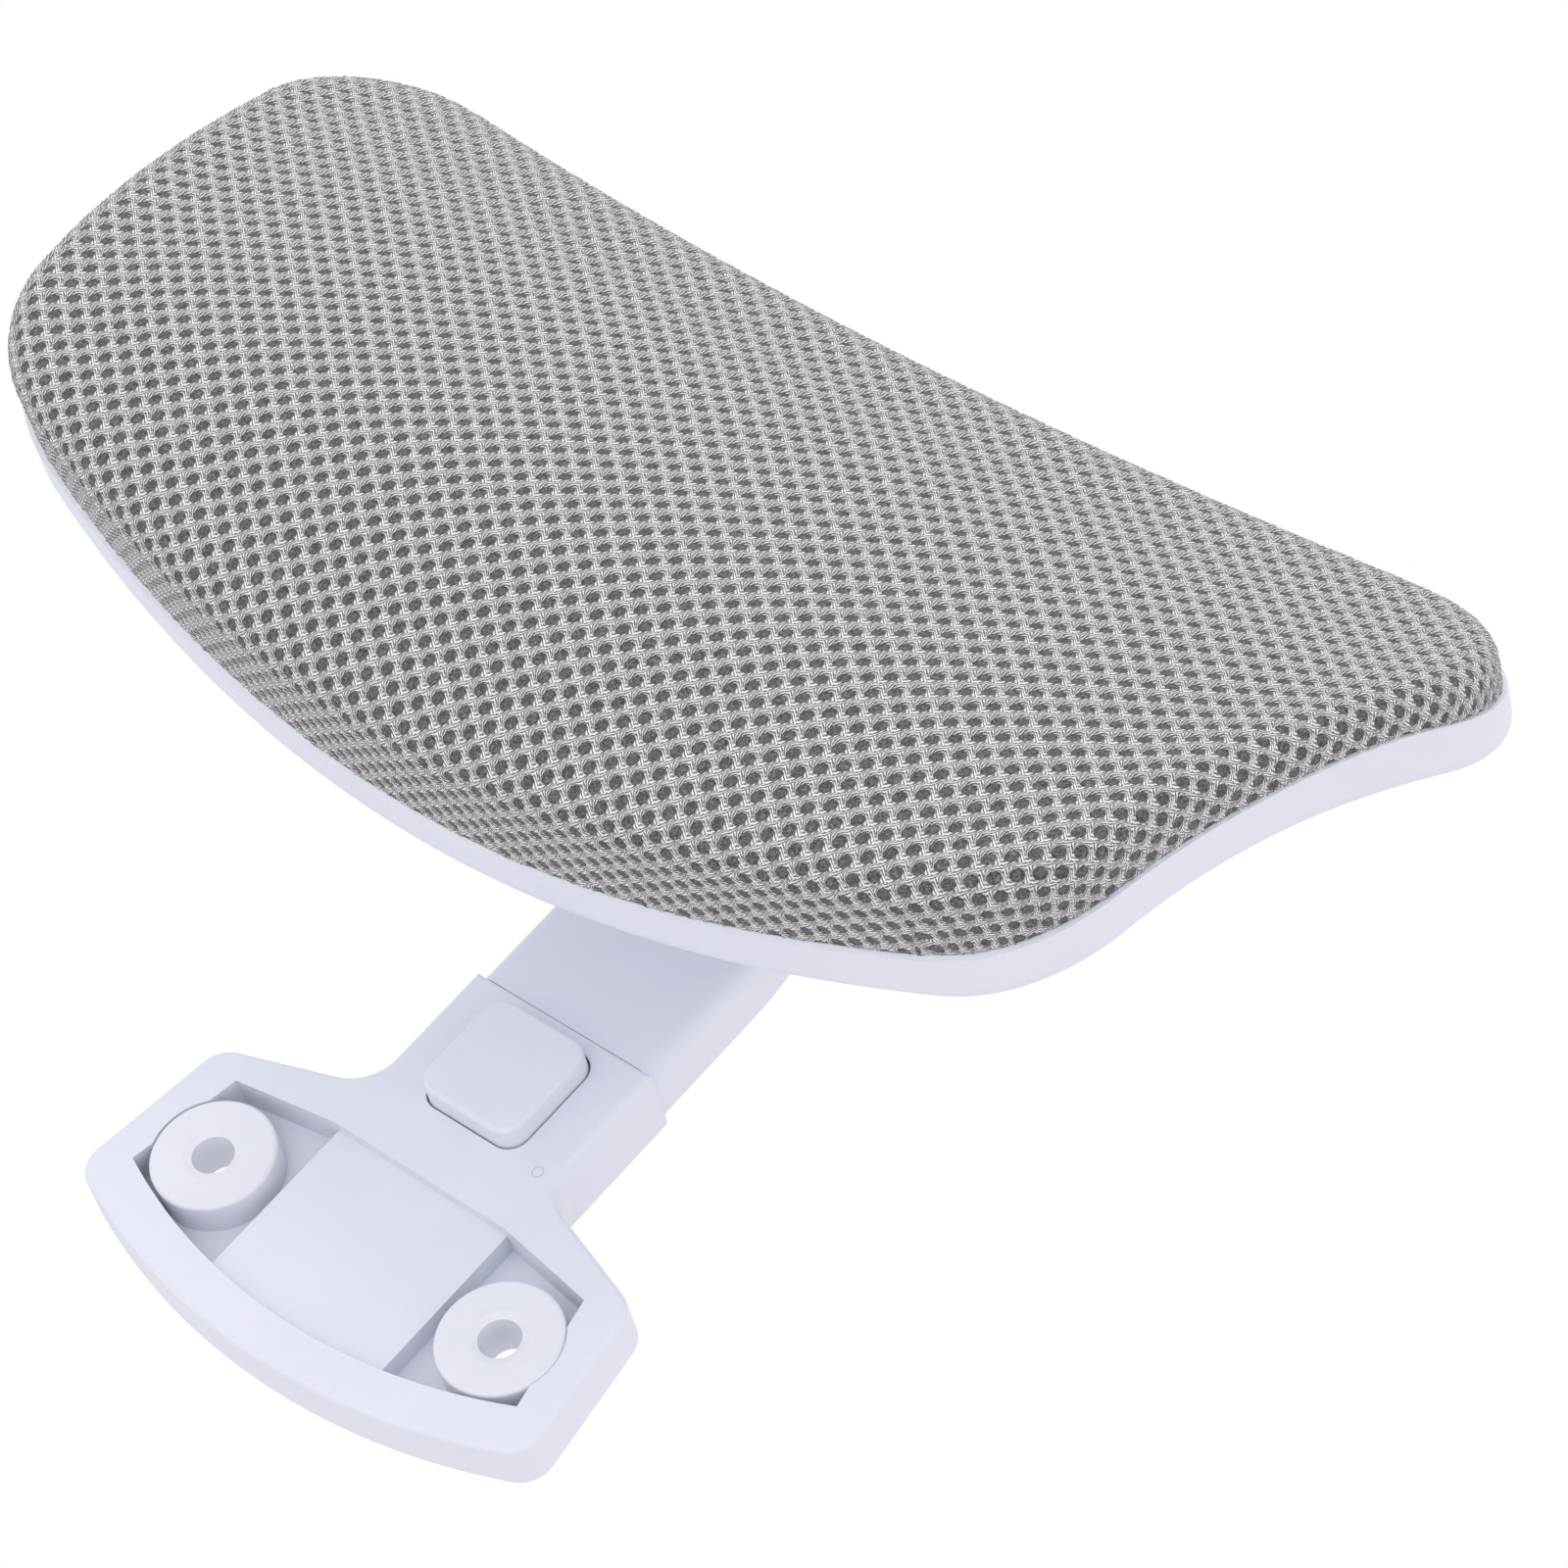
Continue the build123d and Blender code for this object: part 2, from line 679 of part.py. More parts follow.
def make_shell():
    body = slab(seam_profile, back_profile, 0)
    rear = body.faces().filter_by(lambda f: f.area > 20000).sort_by(Axis.Y)[-1]
    body = fillet(rear.edges(), shell_edge_round)
    plinth = block(
        -hinge_base_half_width - plinth_lip,
        hinge_base_half_width + plinth_lip,
        min(y for y, z in seam_profile),
        hinge_base_y,
        hinge_z - hinge_base_half_height - plinth_lip,
        hinge_z + hinge_base_half_height + plinth_lip,
    )
    plinth = fillet(plinth.edges().filter_by(Axis.Y), plinth_corner)
    behind_board = shifted(seam_profile, board_sink + board_thickness)
    plinth = plinth & slab(behind_board, shifted(back_profile, far / 2), shell_lip)
    core = block(
        -plinth_core_half_width,
        plinth_core_half_width,
        -far,
        hinge_base_y - plinth_floor,
        hinge_z - plinth_core_half_height,
        hinge_z + plinth_core_half_height,
    )
    tray = slab(shifted(seam_profile, -merge), behind_board, shell_lip)
    hollow = slab(seam_profile, shifted(back_profile, -shell_wall), shell_lip + shell_ledge)
    body = body - tray - hollow + plinth - core
    for x, z in board_screws_at:
        post = rod_y(x, z, screw_head_radius + board_post_wall, -far, far)
        body = body + (post & slab(behind_board, shifted(back_profile, -merge), shell_lip))
    for x, z in board_screws_at:
        body = body - rod_y(x, z, screw_radius + screw_hole_gap, -far, 0)
        body = body - rod_y(x, z, screw_head_radius + screw_head_gap, screw_seat_y(z), 0)
    for x in (-hinge_screw_x, hinge_screw_x):
        for z in (-hinge_screw_z, hinge_screw_z):
            body = body - rod_y(
                x, hinge_z + z, screw_radius - thread_bite, hinge_base_y - hinge_screw_bite - screw_tip_gap, 0
            )
    return body


board_screws_at = [
    (side * board_screw_x, z) for side in (-1, 1) for z in (board_screw_low_z, board_screw_high_z)
]


def profile_y(profile, z):
    """Depth of a side profile at height z, by straight lines between its points."""
    for (y0, z0), (y1, z1) in zip(profile, profile[1:]):
        if z0 <= z <= z1:
            return y0 + (y1 - y0) * (z - z0) / (z1 - z0)
    raise ValueError("height outside the profile")


def screw_seat_y(z):
    """Where a board screw's head seats, sunk in the shell's back."""
    return profile_y(back_profile, z) - board_screw_sink


def make_board_screws():
    return [
        screw_y(x, z, profile_y(seam_profile, z) + board_sink + board_screw_start, screw_seat_y(z))
        for x, z in board_screws_at
    ]


def make_board():
    board = slab(
        shifted(seam_profile, board_sink), shifted(seam_profile, board_sink + board_thickness), board_inset
    )
    for x, z in board_screws_at:
        board = board - rod_y(x, z, screw_radius - thread_bite, -far, 0)
    return board


def make_foam():
    front = cushion_form(cover_thickness + backing_thickness, cover_thickness + backing_thickness)
    plug = slab(shifted(seam_profile, -merge), shifted(seam_profile, board_sink), board_inset)
    return front + plug


def make_backing():
    outer = cushion_form(cover_thickness, cover_thickness)
    inner = cushion_form(cover_thickness + backing_thickness, cover_thickness + backing_thickness)
    return outer - inner


os.makedirs("parts", exist_ok=True)
parts = {
    "bracket_front_housing": make_front_housing(),
    "bracket_rear_housing": make_rear_housing(),
    "screw_bush_left": make_screw_bush(-1),
    "screw_bush_right": make_screw_bush(1),
    "housing_screws": Compound(children=make_housing_screws()),
    "push_button": make_push_button(),
    "latch_frame": make_latch_frame(),
    "button_springs": Compound(children=make_button_springs()),
    "headrest_arm": make_arm(),
    "arm_stop_screw": make_stop_screw(),
    "hinge_bush": make_hinge_bush(),
    "hinge_bracket": make_hinge_bracket(),
    "hinge_bracket_screws": Compound(children=make_hinge_screws()),
    "hinge_friction_washers": Compound(children=make_friction_washers()),
    "hinge_pin": make_hinge_pin(),
    "hinge_spring_washer": make_spring_washer(),
    "hinge_pin_cap": make_pin_cap(),
    "pad_shell": make_shell(),
    "cushion_board": make_board(),
    "board_screws": Compound(children=make_board_screws()),
    "foam_cushion": make_foam(),
    "cover_backing": make_backing(),
    "mesh_cover": make_mesh_cover(cushion_form(cover_thickness, cover_thickness)),
}
for name, part in parts.items():
    export_step(part, f"parts/{name}.step")
    print(name, round(part.volume), len(part.solids()))
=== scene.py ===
import bpy
import math
import numpy as np
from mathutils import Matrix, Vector
from mathutils.bvhtree import BVHTree


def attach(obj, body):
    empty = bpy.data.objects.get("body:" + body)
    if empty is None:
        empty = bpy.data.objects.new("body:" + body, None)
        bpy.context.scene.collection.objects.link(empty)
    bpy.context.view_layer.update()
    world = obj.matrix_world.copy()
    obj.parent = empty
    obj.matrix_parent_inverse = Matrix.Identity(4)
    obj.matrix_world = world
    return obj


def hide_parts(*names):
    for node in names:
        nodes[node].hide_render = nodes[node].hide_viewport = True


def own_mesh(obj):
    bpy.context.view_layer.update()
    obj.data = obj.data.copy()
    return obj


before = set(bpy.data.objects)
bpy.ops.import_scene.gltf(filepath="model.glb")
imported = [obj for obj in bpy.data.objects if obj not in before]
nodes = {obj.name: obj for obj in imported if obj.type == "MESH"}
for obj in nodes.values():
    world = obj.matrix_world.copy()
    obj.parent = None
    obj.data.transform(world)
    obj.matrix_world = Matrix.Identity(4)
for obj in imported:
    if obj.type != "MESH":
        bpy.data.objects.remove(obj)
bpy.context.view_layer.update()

scene = bpy.context.scene
scene.view_settings.view_transform = "Standard"


def deselectAll():
    bpy.ops.object.select_all(action="DESELECT")


def makeActive(piece):
    deselectAll()
    piece.select_set(True)
    bpy.context.view_layer.objects.active = piece


def newMaterial(name):
    material = bpy.data.materials.new(name)
    material.use_nodes = True
    tree = material.node_tree
    return material, tree, tree.nodes["Principled BSDF"]


def addNode(tree, kind, **settings):
    node = tree.nodes.new(kind)
    for key, value in settings.items():
        if key in node.inputs:
            node.inputs[key].default_value = value
        else:
            setattr(node, key, value)
    return node


def objectCoords(tree):
    return addNode(tree, "ShaderNodeTexCoord").outputs["Object"]


def colourRamp(tree, source, stops):
    ramp = addNode(tree, "ShaderNodeValToRGB")
    tree.links.new(source, ramp.inputs["Fac"])
    while len(ramp.color_ramp.elements) < len(stops):
        ramp.color_ramp.elements.new(0.5)
    for element, (place, colour) in zip(ramp.color_ramp.elements, stops):
        element.position = place
        element.color = (*colour, 1)
    return ramp.outputs["Color"]


def addBump(tree, shader, height, strength, distance):
    bump = addNode(tree, "ShaderNodeBump", Strength=strength, Distance=distance)
    tree.links.new(height, bump.inputs["Height"])
    tree.links.new(bump.outputs["Normal"], shader.inputs["Normal"])
    return bump


def spreadRoughness(tree, shader, source, low, high):
    spread = addNode(tree, "ShaderNodeMapRange")
    tree.links.new(source, spread.inputs["Value"])
    spread.inputs["To Min"].default_value = low
    spread.inputs["To Max"].default_value = high
    tree.links.new(spread.outputs["Result"], shader.inputs["Roughness"])


# moulded plastics
plasticLook = {
    "colour": (0.735, 0.755, 0.84), "shade": (0.71, 0.73, 0.815),
    "roughness": 0.46, "grainScale": 2600, "grainDepth": 0.00004, "mottleScale": 28,
}
bushLook = {
    "colour": (0.76, 0.775, 0.84), "shade": (0.73, 0.745, 0.81),
    "roughness": 0.34, "grainScale": 1400, "grainDepth": 0.00002, "mottleScale": 60,
}
washerLook = {
    "colour": (0.62, 0.60, 0.54), "shade": (0.55, 0.53, 0.48),
    "roughness": 0.4, "grainScale": 1500, "grainDepth": 0.00003, "mottleScale": 90,
}
boardLook = {
    "colour": (0.035, 0.035, 0.038), "shade": (0.025, 0.025, 0.028),
    "roughness": 0.55, "grainScale": 1500, "grainDepth": 0.00005, "mottleScale": 40,
}
plasticSpread = 0.07    # how far the grain moves the roughness, up and down


def mouldedPlastic(name, look):
    material, tree, shader = newMaterial(name)
    coords = objectCoords(tree)
    mottle = addNode(tree, "ShaderNodeTexNoise", Scale=look["mottleScale"], Detail=3.0)
    grain = addNode(tree, "ShaderNodeTexNoise", Scale=look["grainScale"], Detail=2.0)
    for texture in (mottle, grain):
        tree.links.new(coords, texture.inputs["Vector"])
    colour = colourRamp(tree, mottle.outputs["Fac"], [(0.35, look["shade"]), (0.65, look["colour"])])
    tree.links.new(colour, shader.inputs["Base Color"])
    low, high = look["roughness"] - plasticSpread, look["roughness"] + plasticSpread
    spreadRoughness(tree, shader, grain.outputs["Fac"], low, high)
    shader.inputs["Specular IOR Level"].default_value = 0.42
    addBump(tree, shader, grain.outputs["Fac"], 0.35, look["grainDepth"])
    return material


whitePlastic = mouldedPlastic("whitePlastic", plasticLook)
bushNylon = mouldedPlastic("bushNylon", bushLook)
bushShader = bushNylon.node_tree.nodes["Principled BSDF"]
bushShader.inputs["Subsurface Weight"].default_value = 0.1
bushShader.inputs["Subsurface Scale"].default_value = 0.003
washerNylon = mouldedPlastic("washerNylon", washerLook)
boardPlastic = mouldedPlastic("boardPlastic", boardLook)


# metals: a fine grain, drawn out along one axis by stretch where the metal is brushed, and light stains
def brushedMetal(name, colour, stain, roughness, stretch):
    material, tree, shader = newMaterial(name)
    mapping = addNode(tree, "ShaderNodeMapping")
    mapping.inputs["Scale"].default_value = stretch
    tree.links.new(objectCoords(tree), mapping.inputs["Vector"])
    brush = addNode(tree, "ShaderNodeTexNoise", Scale=900.0, Detail=4.0)
    patches = addNode(tree, "ShaderNodeTexNoise", Scale=160.0, Detail=5.0, Roughness=0.7)
    tree.links.new(mapping.outputs["Vector"], brush.inputs["Vector"])
    tree.links.new(objectCoords(tree), patches.inputs["Vector"])
    tree.links.new(
        colourRamp(tree, patches.outputs["Fac"], [(0.36, stain), (0.6, colour)]),
        shader.inputs["Base Color"],
    )
    spreadRoughness(tree, shader, brush.outputs["Fac"], roughness - 0.1, roughness + 0.12)
    shader.inputs["Metallic"].default_value = 1.0
    addBump(tree, shader, brush.outputs["Fac"], 0.3, 0.00003)
    return material


zincPlate = brushedMetal("zincPlate", (0.70, 0.71, 0.72), (0.52, 0.53, 0.53), 0.32, (1, 1, 1))
springSteel = brushedMetal("springSteel", (0.55, 0.56, 0.57), (0.42, 0.42, 0.43), 0.28, (1, 4, 1))
latchSteel = brushedMetal("latchSteel", (0.58, 0.59, 0.61), (0.46, 0.47, 0.48), 0.38, (0.1, 1, 1))
hingeSteel = brushedMetal("hingeSteel", (0.66, 0.67, 0.69), (0.54, 0.55, 0.56), 0.36, (1, 1, 0.1))


# fabrics
knitLook = {
    "scale": 2300.0, "bumpDepth": 0.0003,
    "stops": [(0.40, (0.032, 0.031, 0.033)), (0.50, (0.10, 0.097, 0.10)), (0.61, (0.34, 0.33, 0.338))],
}
yarnLook = {
    "strands": 2.5, "twists": 9,    # strands across a ring, turns round it
    "waveScale": 0.628,    # at which one unit of the mapped lay is one wave
    "fibreScale": 1500.0, "fibreShare": 0.5, "bumpDepth": 0.00035,
    "stops": [(0.29, (0.12, 0.115, 0.12)), (0.45, (0.48, 0.465, 0.48)), (0.63, (0.95, 0.93, 0.95))],
}


def backingKnit(name, look):
    material, tree, shader = newMaterial(name)
    coords = objectCoords(tree)
    fibres = addNode(
        tree, "ShaderNodeTexNoise", Scale=look["scale"], Detail=4.0, Roughness=0.75, Distortion=1.6,
    )
    tree.links.new(coords, fibres.inputs["Vector"])
    tree.links.new(colourRamp(tree, fibres.outputs["Fac"], look["stops"]), shader.inputs["Base Color"])
    shader.inputs["Roughness"].default_value = 0.9
    shader.inputs["Sheen Weight"].default_value = 0.15
    addBump(tree, shader, fibres.outputs["Fac"], 0.9, look["bumpDepth"])
    return material


def meshYarn(name, look):
    material, tree, shader = newMaterial(name)
    lay = addNode(tree, "ShaderNodeUVMap", uv_map="yarnLay")
    mapping = addNode(tree, "ShaderNodeMapping")
    mapping.inputs["Scale"].default_value = (look["twists"], look["strands"], 1)
    tree.links.new(lay.outputs["UV"], mapping.inputs["Vector"])
    plies = addNode(tree, "ShaderNodeTexWave", Scale=look["waveScale"], Distortion=3.2, Detail=2.0)
    plies.bands_direction = "DIAGONAL"
    plies.inputs["Detail Scale"].default_value = 2.2
    tree.links.new(mapping.outputs["Vector"], plies.inputs["Vector"])
    fibres = addNode(
        tree, "ShaderNodeTexNoise", Scale=look["fibreScale"], Detail=2.0, Roughness=0.6, Distortion=1.4,
    )
    tree.links.new(objectCoords(tree), fibres.inputs["Vector"])
    mix = addNode(tree, "ShaderNodeMix", data_type="FLOAT")
    mix.inputs[0].default_value = look["fibreShare"]
    tree.links.new(plies.outputs["Fac"], mix.inputs[2])
    tree.links.new(fibres.outputs["Fac"], mix.inputs[3])
    tree.links.new(colourRamp(tree, mix.outputs[0], look["stops"]), shader.inputs["Base Color"])
    shader.inputs["Roughness"].default_value = 0.72
    shader.inputs["Sheen Weight"].default_value = 0.25
    addBump(tree, shader, mix.outputs[0], 1.0, look["bumpDepth"])
    return material


backingFabric = backingKnit("backingFabric", knitLook)
meshFabric = meshYarn("meshFabric", yarnLook)

finishes = {
    "bracket_front_housing": whitePlastic, "bracket_rear_housing": whitePlastic,
    "headrest_arm": whitePlastic, "push_button": whitePlastic, "pad_shell": whitePlastic,
    "screw_bush_left": bushNylon, "screw_bush_right": bushNylon, "hinge_bush": bushNylon,
    "hinge_friction_washers": washerNylon, "cushion_board": boardPlastic,
    "housing_screws": zincPlate, "arm_stop_screw": zincPlate,
    "hinge_bracket_screws": zincPlate, "board_screws": zincPlate,
    "button_springs": springSteel, "hinge_spring_washer": springSteel,
    "latch_frame": latchSteel, "hinge_bracket": hingeSteel,
    "hinge_pin": hingeSteel, "hinge_pin_cap": hingeSteel,
}
for nodeName, finish in finishes.items():
    piece = nodes[nodeName]
    piece.data.materials.clear()
    piece.data.materials.append(finish)
print("finishes on", len(finishes), "carried-over pieces")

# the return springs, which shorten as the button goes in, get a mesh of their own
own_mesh(nodes["button_springs"])


# cushion: foam wrapped in its grey backing, puffed by cloth
cushionShape = {
    "mergeDistance": 0.00001, "voxel": 0.0045, "relaxFactor": 0.5, "relaxSteps": 3,
    "swell": 0.0006, "pressure": 4.0, "frames": 20,
    "cap": 0.0005,    # the furthest that the cloth run may move a point
}


def worldTree(piece):
    vertices = [tuple(v.co) for v in piece.data.vertices]
    faces = [tuple(p.vertices) for p in piece.data.polygons]
    return BVHTree.FromPolygons(vertices, faces)


def applyModifier(piece, name):
    makeActive(piece)
    bpy.ops.object.modifier_apply(modifier=name)


def copyOf(node, name, mergeDistance):
    piece = bpy.data.objects.new(name, nodes[node].data.copy())
    scene.collection.objects.link(piece)
    piece.data.materials.clear()
    makeActive(piece)
    bpy.ops.object.mode_set(mode="EDIT")
    bpy.ops.mesh.select_all(action="SELECT")
    bpy.ops.mesh.remove_doubles(threshold=mergeDistance)
    bpy.ops.object.mode_set(mode="OBJECT")
    return piece


def makeCushion(shape):
    cushion = copyOf("foam_cushion", "cushion_pad", shape["mergeDistance"])
    remesh = cushion.modifiers.new("remesh", "REMESH")
    remesh.mode = "VOXEL"
    remesh.voxel_size = shape["voxel"]
    applyModifier(cushion, "remesh")
    relax = cushion.modifiers.new("relax", "SMOOTH")
    relax.factor = shape["relaxFactor"]
    relax.iterations = shape["relaxSteps"]
    applyModifier(cushion, "relax")
    swell = cushion.modifiers.new("swell", "DISPLACE")
    swell.mid_level = 0
    swell.strength = shape["swell"]
    applyModifier(cushion, "swell")
    start = np.empty(len(cushion.data.vertices) * 3)
    cushion.data.vertices.foreach_get("co", start)
    cloth = cushion.modifiers.new("cloth", "CLOTH")
    cloth.settings.use_pressure = True
    cloth.settings.uniform_pressure_force = shape["pressure"]
    cloth.settings.effector_weights.gravity = 0
    for frameNumber in range(1, shape["frames"] + 1):
        scene.frame_set(frameNumber)
    applyModifier(cushion, "cloth")
    scene.frame_set(1)
    puffed = np.empty(len(cushion.data.vertices) * 3)
    cushion.data.vertices.foreach_get("co", puffed)
    move = (puffed - start).reshape(-1, 3)
    far = np.linalg.norm(move, axis=1, keepdims=True)
    move *= np.minimum(1, shape["cap"] / np.maximum(far, 1e-9))
    cushion.data.vertices.foreach_set("co", (start.reshape(-1, 3) + move).ravel())
    divide = cushion.modifiers.new("divide", "SUBSURF")
    divide.levels = divide.render_levels = 1
    applyModifier(cushion, "divide")
    bpy.ops.object.shade_smooth()
    cushion.data.materials.append(backingFabric)
    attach(cushion, "pad")
    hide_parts("foam_cushion", "cover_backing")
    print("cushion", len(cushion.data.vertices), "points")
    return cushion


cushionPad = makeCushion(cushionShape)


# mesh cover: a lattice of round dimples, floored with the backing, that wraps the cushion to the shell
coverShape = {
    "acrossPitch": 0.00628, "upPitch": 0.0051, "halfColumns": 66, "halfRows": 56,
    "holeFloor": (0.00143, 0.0001), "rim": (0.0016, 0.00085),    # radius, height over the cushion
    "borderHeight": 0.0006, "seamHeight": 0.0001, "sink": 0.0011, "settleWidth": 0.012,
    "sideRelief": 0.5, "sideReach": 0.016,    # how much relief is left down the side, and how soon
    "lowHalfWidth": 0.1275, "lowCornerZ": 0.0715, "lowMiddleZ": 0.0445, "lowCornerRadius": 0.036,
    "topHalfWidth": 0.155, "topCornerZ": 0.1965, "topMiddleZ": 0.1797, "topCornerRadius": 0.025,
    "arcSteps": 60, "lowNeighbour": -8, "topNeighbour": 5,    # arc points that give a corner its direction
    "edgeRadius": 0.0065, "longestReach": 0.03, "seamGap": 0.0001, "lipInset": 0.001,
    # where the face is sampled: x, lowest z and highest z
    "profileColumns": ((0.0, 0.054, 0.170), (0.13, 0.10, 0.187), (-0.13, 0.10, 0.187)),
    "profileSteps": 60, "profileDegree": 5,
    "clothTopZ": 0.24, "clothMiddleZ": 0.115, "clothSteps": 481,
    "inFrontY": -0.3, "searchLift": 0.012, "searchReach": 0.03,    # where a search starts, how far it goes
    "mergeDistance": 0.00002,
}


def arcPoints(a, middle, b, steps):
    # circle through three points, a to b
    (ax, ay), (bx, by), (cx, cy) = a, middle, b
    d = 2 * (ax * (by - cy) + bx * (cy - ay) + cx * (ay - by))
    ux = ((ax**2 + ay**2) * (by - cy) + (bx**2 + by**2) * (cy - ay) + (cx**2 + cy**2) * (ay - by)) / d
    uy = ((ax**2 + ay**2) * (cx - bx) + (bx**2 + by**2) * (ax - cx) + (cx**2 + cy**2) * (bx - ax)) / d
    radius = math.hypot(ax - ux, ay - uy)
    first = math.atan2(ay - uy, ax - ux)
    last = math.atan2(cy - uy, cx - ux)
    sweep = (last - first + math.pi) % (2 * math.pi) - math.pi
    return [
        (ux + radius * math.cos(first + sweep * k / steps), uy + radius * math.sin(first + sweep * k / steps))
        for k in range(steps + 1)
    ]


def insidePolygon(points, polygon):
    x, z = points[:, 0], points[:, 1]
    inside = np.zeros(len(points), bool)
    for (x0, z0), (x1, z1) in zip(polygon, np.roll(polygon, -1, axis=0)):
        crosses = (z0 > z) != (z1 > z)
        at = (x1 - x0) * (z - z0) / ((z1 - z0) + 1e-15) + x0
        inside ^= crosses & (x < at)
    return inside


def edgeDistance(points, polygon):
    # nearest point on the polygon, and the distance to it, negative inside
    best = np.full(len(points), 1e9)
    nearest = np.zeros_like(points)
    for start, end in zip(polygon, np.roll(polygon, -1, axis=0)):
        run = end - start
        t = np.clip(((points - start) @ run) / (run @ run + 1e-15), 0, 1)
        spot = start + t[:, None] * run
        distance = np.hypot(*(points - spot).T)
        closer = distance < best
        best[closer] = distance[closer]
        nearest[closer] = spot[closer]
    best[insidePolygon(points, polygon)] *= -1
    return best, nearest


def roundedCorner(before, corner, after, radius, steps=14):
    corner, before, after = (np.array(p) for p in (corner, before, after))
    one = (before - corner) / np.linalg.norm(before - corner)
    two = (after - corner) / np.linalg.norm(after - corner)
    half = math.acos(float(np.clip(one @ two, -1, 1))) / 2
    reach = radius / math.tan(half)
    centre = corner + (one + two) / np.linalg.norm(one + two) * radius / math.sin(half)
    first, last = corner + one * reach - centre, corner + two * reach - centre
    a, b = math.atan2(first[1], first[0]), math.atan2(last[1], last[0])
    sweep = (b - a + math.pi) % (2 * math.pi) - math.pi
    return reach, [
        tuple(centre + radius * np.array([math.cos(a + sweep * k / steps), math.sin(a + sweep * k / steps)]))
        for k in range(steps + 1)
    ]


def padEdge(shape):
    # outline of the pad, anticlockwise in (x, z)
    lowRight = (shape["lowHalfWidth"], shape["lowCornerZ"])
    topRight = (shape["topHalfWidth"], shape["topCornerZ"])
    low = arcPoints((-lowRight[0], lowRight[1]), (0, shape["lowMiddleZ"]), lowRight, shape["arcSteps"])
    top = arcPoints(topRight, (0, shape["topMiddleZ"]), (-topRight[0], topRight[1]), shape["arcSteps"])
    beforeLow, afterTop = low[shape["lowNeighbour"]], top[shape["topNeighbour"]]
    lowReach, lowRound = roundedCorner(beforeLow, lowRight, topRight, shape["lowCornerRadius"])
    topReach, topRound = roundedCorner(lowRight, topRight, afterTop, shape["topCornerRadius"])
    keepLow = [p for p in low if math.dist(p, lowRight) > lowReach and math.dist(p, low[0]) > lowReach]
    keepTop = [p for p in top if math.dist(p, topRight) > topReach and math.dist(p, top[-1]) > topReach]
    mirror = lambda run: [(-x, z) for x, z in reversed(run)]
    return np.array(keepLow + lowRound + topRound + keepTop + mirror(topRound) + mirror(lowRound))


def insetEdge(polygon, amount):
    along = np.roll(polygon, -1, axis=0) - np.roll(polygon, 1, axis=0)
    along /= np.linalg.norm(along, axis=1, keepdims=True)
    inward = np.stack([-along[:, 1], along[:, 0]], 1)
    return polygon + inward * amount


def faceProfile(outer, shape):
    # depth of the pad's face against height, straight past its ends
    heights, depths = [], []
    for x, low, high in shape["profileColumns"]:
        for z in np.linspace(low, high, shape["profileSteps"]):
            hit = outer.ray_cast(Vector((x, shape["inFrontY"], z)), Vector((0, 1, 0)))
            if hit[0] is not None:
                heights.append(z)
                depths.append(hit[0].y)
    curve = np.polynomial.Polynomial.fit(heights, depths, shape["profileDegree"])
    low, high = min(heights), max(heights)
    slope = curve.deriv()

    def depthAt(z):
        inside = np.clip(z, low, high)
        return curve(inside) + slope(inside) * (z - inside)

    return depthAt, lambda z: slope(np.clip(z, low, high))


def holeCell(shape):
    # one cell: hole floor, rim and six-sided border, each a ring of as many points
    cx, cy = shape["acrossPitch"] / 2, shape["upPitch"] / 2
    slant = (cx**2 + cy**2) / 2
    tip, shoulder = slant / cx, (slant - cy * cy) / cx
    quarter = [(tip, 0), ((tip + shoulder) / 2, cy / 2), (shoulder, cy), (0, cy)]
    border = quarter + [(-x, y) for x, y in quarter[2::-1]]
    border = np.array(border + [(x, -y) for x, y in border[5:0:-1]])
    angles = np.arange(len(border)) * 2 * math.pi / len(border)
    circle = np.stack([np.cos(angles), np.sin(angles)], 1)
    rings = [circle * shape[ring][0] for ring in ("holeFloor", "rim")] + [border]
    heights = [shape[ring][1] for ring in ("holeFloor", "rim")] + [shape["borderHeight"]]
    return np.array(rings), np.repeat(heights, len(border))


def unitRows(rows):
    return rows / np.maximum(np.linalg.norm(rows, axis=1, keepdims=True), 1e-9)


def frontNormal(tilt):
    # the face's own normal where its depth changes by tilt with height
    return unitRows(np.stack([np.zeros(len(tilt)), -np.ones(len(tilt)), tilt], 1))


def foldOverEdge(spots, distance, nearest, outward, depthAt, slopeAt, radius):
    # lays spots on the face; beyond the rolled edge the cloth turns back along the side
    wall = np.stack([outward[:, 0], np.zeros(len(spots)), outward[:, 1]], 1)
    edgeNormal = frontNormal(slopeAt(nearest[:, 1]))
    lean = (edgeNormal * wall).sum(axis=1)
    whole = np.arccos(np.clip(lean, -1, 1))
    arc = (distance - radius * lean) / radius
    onFace = (arc <= 0) | (distance < -radius)
    turn = np.clip(arc, 0, whole)
    side = unitRows(wall - edgeNormal * lean[:, None])
    rolled = edgeNormal * np.cos(turn)[:, None] + side * np.sin(turn)[:, None]
    # the roll starts where it is tangent to the face
    start = nearest + radius * lean[:, None] * outward
    hub = np.stack([start[:, 0], depthAt(start[:, 1]), start[:, 1]], 1) - radius * edgeNormal
    edgePoints = hub + radius * rolled
    edgePoints[:, 1] += np.maximum(arc - whole, 0) * radius
    facePoints = np.stack([spots[:, 0], depthAt(spots[:, 1]), spots[:, 1]], 1)
    points = np.where(onFace[:, None], facePoints, edgePoints)
    normals = np.where(onFace[:, None], frontNormal(slopeAt(spots[:, 1])), rolled)
    return points, normals, onFace


